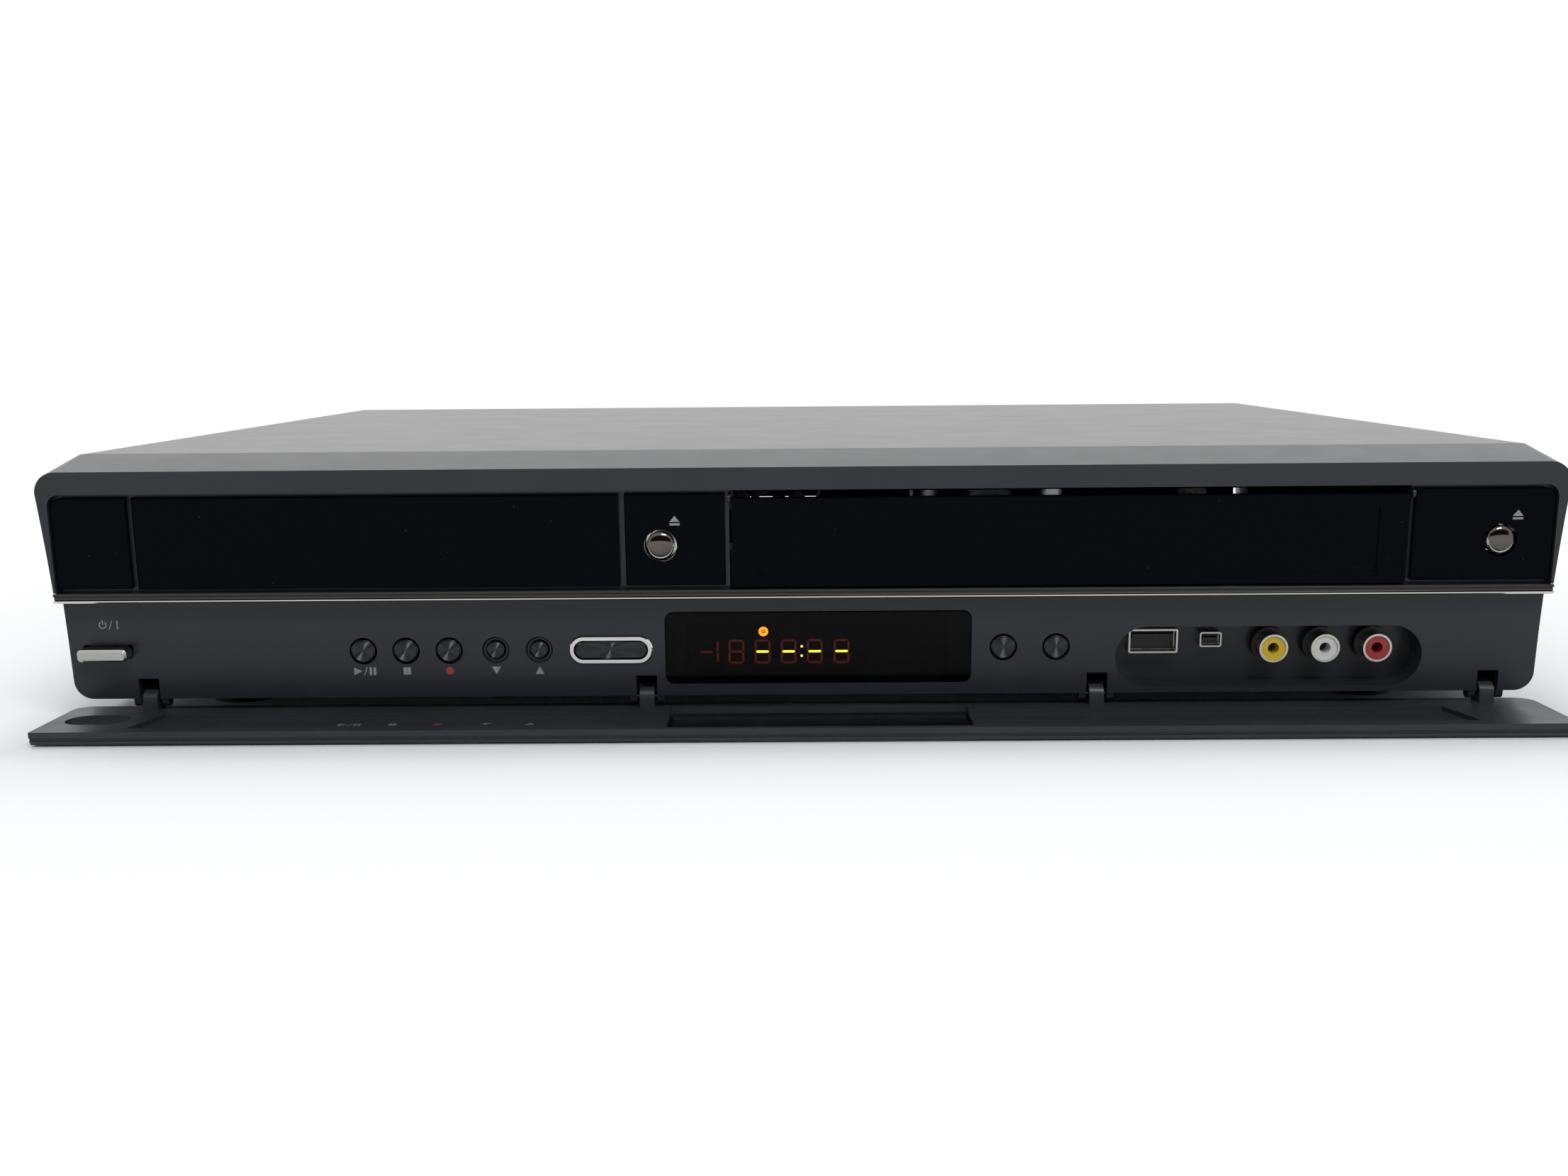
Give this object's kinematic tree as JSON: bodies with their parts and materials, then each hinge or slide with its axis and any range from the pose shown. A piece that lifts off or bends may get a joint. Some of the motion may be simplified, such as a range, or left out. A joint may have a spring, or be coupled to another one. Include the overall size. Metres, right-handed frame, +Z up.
{
  "type": "disc and cassette recorder",
  "caption": "Low black recorder that plays discs and video cassettes, with a long hinged flap hanging open over buttons and sockets.",
  "frame": {"origin": "on the table, below the middle of the whole recorder with its flap open", "axes": "+X to the right as seen from the front, +Y to the back, +Z up"},
  "size_m": [0.43, 0.368, 0.0785],
  "materials": {
    "painted_cover": "satin black paint on sheet steel",
    "plated_steel": "zinc plated sheet",
    "rear_steel": "matte black paint",
    "bezel_plastic": "satin painted charcoal",
    "flap_plastic": "satin painted charcoal",
    "gloss_black": "high gloss blue black",
    "display_black": "tinted gloss window",
    "smoked_lens": "smoked clear plastic",
    "chrome": "bright chrome plating",
    "button_plastic": "spun dark metallic",
    "socket_metal": "nickel plated",
    "nickel": "nickel plated",
    "steel": "ground steel",
    "black_plastic": "moulded black",
    "foot_plastic": "matte black",
    "insert_yellow": "moulded yellow",
    "insert_white": "moulded white",
    "insert_red": "moulded red",
    "insert_mixed": "moulded, coloured by signal",
    "circuit_board": "green solder mask",
    "tray_plastic": "moulded dark grey",
    "sled_cast": "die cast",
    "white_plastic": "moulded white",
    "machined_aluminium": "machined and polished",
    "black_screw": "black oxide"
  },
  "bodies": {
    "casing": {"aerial_sockets": "nickel", "base_chassis": "plated_steel", "casing_screws": "black_screw", "chrome_strip": "chrome", "deck_chassis": "plated_steel", "disc_button_cover": "gloss_black", "display_module": "black_plastic", "display_window": "display_black", "drive_frame": "black_plastic", "dubbing_ring": "chrome", "dv_port": "socket_metal", "eject_boards": "circuit_board", "fan_frame": "black_plastic", "feet": "foot_plastic", "flap_hinge_pins": "steel", "front_bezel": "bezel_plastic", "front_board": "circuit_board", "hdmi_port": "socket_metal", "left_cover": "gloss_black", "lower_drum": "machined_aluminium", "main_board": "circuit_board", "mains_inlet": "black_plastic", "power_supply": "circuit_board", "rca_bases": "black_plastic", "rca_insert_red": "insert_red", "rca_insert_white": "insert_white", "rca_insert_yellow": "insert_yellow", "rca_shells": "nickel", "rear_av_block": "black_plastic", "rear_av_inserts": "insert_mixed", "rear_av_shells": "nickel", "rear_panel": "rear_steel", "sled_rods": "steel", "spindle_motor": "plated_steel", "tape_button_cover": "gloss_black", "top_cover": "painted_cover", "usb_port": "socket_metal"},
    "flap": {"front_flap": "flap_plastic", "flap_lens": "smoked_lens"},
    "tray": {"disc_tray": "tray_plastic", "tray_door": "gloss_black"},
    "cassette_door": {"cassette_door": "gloss_black"},
    "basket": {"cassette_basket": "plated_steel"},
    "turntable": {"turntable": "black_plastic"},
    "sled": {"lens_sled": "sled_cast"},
    "supply_reel": {"supply_reel_table": "white_plastic"},
    "takeup_reel": {"takeup_reel_table": "white_plastic"},
    "head_drum": {"head_drum": "machined_aluminium"},
    "fan_rotor": {"fan_rotor": "black_plastic"},
    "play_button": {"play_button": "button_plastic"},
    "stop_button": {"stop_button": "button_plastic"},
    "record_button": {"record_button": "button_plastic"},
    "program_down_button": {"program_down_button": "button_plastic"},
    "program_up_button": {"program_up_button": "button_plastic"},
    "select_button": {"select_button": "button_plastic"},
    "resolution_button": {"resolution_button": "button_plastic"},
    "dubbing_button": {"dubbing_button": "button_plastic"},
    "power_button": {"power_button": "chrome"},
    "disc_eject_button": {"disc_eject_button": "chrome"},
    "tape_eject_button": {"tape_eject_button": "chrome"}
  },
  "joints": [
    {"name": "flap_hinge", "type": "hinge", "parent": "casing", "child": "flap", "pos_m": [0, -0.15446, 0.0072], "axis": [-1, 0, 0], "range_deg": [0, 86]},
    {"name": "tray_slide", "type": "slide", "parent": "casing", "child": "tray", "axis": [0, -1, 0], "range_m": [0, 0.135]},
    {"name": "cassette_door_hinge", "type": "hinge", "parent": "casing", "child": "cassette_door", "pos_m": [0, -0.16474, 0.0661], "axis": [1, 0, 0], "range_deg": [0, 88], "stiffness_Nm_per_rad": 0.004},
    {"name": "basket_slide", "type": "slide", "parent": "casing", "child": "basket", "axis": [0, 1, 0], "range_m": [0, 0.04]},
    {"name": "play_press", "type": "slide", "parent": "casing", "child": "play_button", "axis": [0, 0.9976, 0.0698], "range_m": [0, 0.0007], "stiffness_N_per_m": 400},
    {"name": "stop_press", "type": "slide", "parent": "casing", "child": "stop_button", "axis": [0, 0.9976, 0.0698], "range_m": [0, 0.0007], "stiffness_N_per_m": 400},
    {"name": "record_press", "type": "slide", "parent": "casing", "child": "record_button", "axis": [0, 0.9976, 0.0698], "range_m": [0, 0.0007], "stiffness_N_per_m": 400},
    {"name": "program_down_press", "type": "slide", "parent": "casing", "child": "program_down_button", "axis": [0, 0.9976, 0.0698], "range_m": [0, 0.0007], "stiffness_N_per_m": 400},
    {"name": "program_up_press", "type": "slide", "parent": "casing", "child": "program_up_button", "axis": [0, 0.9976, 0.0698], "range_m": [0, 0.0007], "stiffness_N_per_m": 400},
    {"name": "select_press", "type": "slide", "parent": "casing", "child": "select_button", "axis": [0, 0.9976, 0.0698], "range_m": [0, 0.0007], "stiffness_N_per_m": 400},
    {"name": "resolution_press", "type": "slide", "parent": "casing", "child": "resolution_button", "axis": [0, 0.9976, 0.0698], "range_m": [0, 0.0007], "stiffness_N_per_m": 400},
    {"name": "dubbing_press", "type": "slide", "parent": "casing", "child": "dubbing_button", "axis": [0, 0.9976, 0.0698], "range_m": [0, 0.0007], "stiffness_N_per_m": 400},
    {"name": "power_press", "type": "slide", "parent": "casing", "child": "power_button", "axis": [0, 0.9976, 0.0698], "range_m": [0, 0.0007], "stiffness_N_per_m": 400},
    {"name": "disc_eject_press", "type": "slide", "parent": "casing", "child": "disc_eject_button", "axis": [0, 0.9976, 0.0698], "range_m": [0, 0.0007], "stiffness_N_per_m": 400},
    {"name": "tape_eject_press", "type": "slide", "parent": "casing", "child": "tape_eject_button", "axis": [0, 0.9976, 0.0698], "range_m": [0, 0.0007], "stiffness_N_per_m": 400},
    {"name": "turntable_spin", "type": "hinge", "parent": "casing", "child": "turntable", "pos_m": [-0.11985, -0.09426, 0.05], "axis": [0, 0, 1], "continuous": true},
    {"name": "sled_slide", "type": "slide", "parent": "casing", "child": "sled", "axis": [0, 1, 0], "range_m": [0, 0.026]},
    {"name": "supply_reel_spin", "type": "hinge", "parent": "casing", "child": "supply_reel", "pos_m": [0.03093, -0.04396, 0.033], "axis": [0, 0, 1], "continuous": true},
    {"name": "takeup_reel_spin", "type": "hinge", "parent": "casing", "child": "takeup_reel", "pos_m": [0.12093, -0.04396, 0.033], "axis": [0, 0, 1], "continuous": true},
    {"name": "head_drum_spin", "type": "hinge", "parent": "casing", "child": "head_drum", "pos_m": [0.07593, 0.04504, 0.048], "axis": [0, 0, 1], "continuous": true},
    {"name": "fan_spin", "type": "hinge", "parent": "casing", "child": "fan_rotor", "pos_m": [-0.008, 0.16804, 0.044], "axis": [0, 1, 0], "continuous": true}
  ]
}
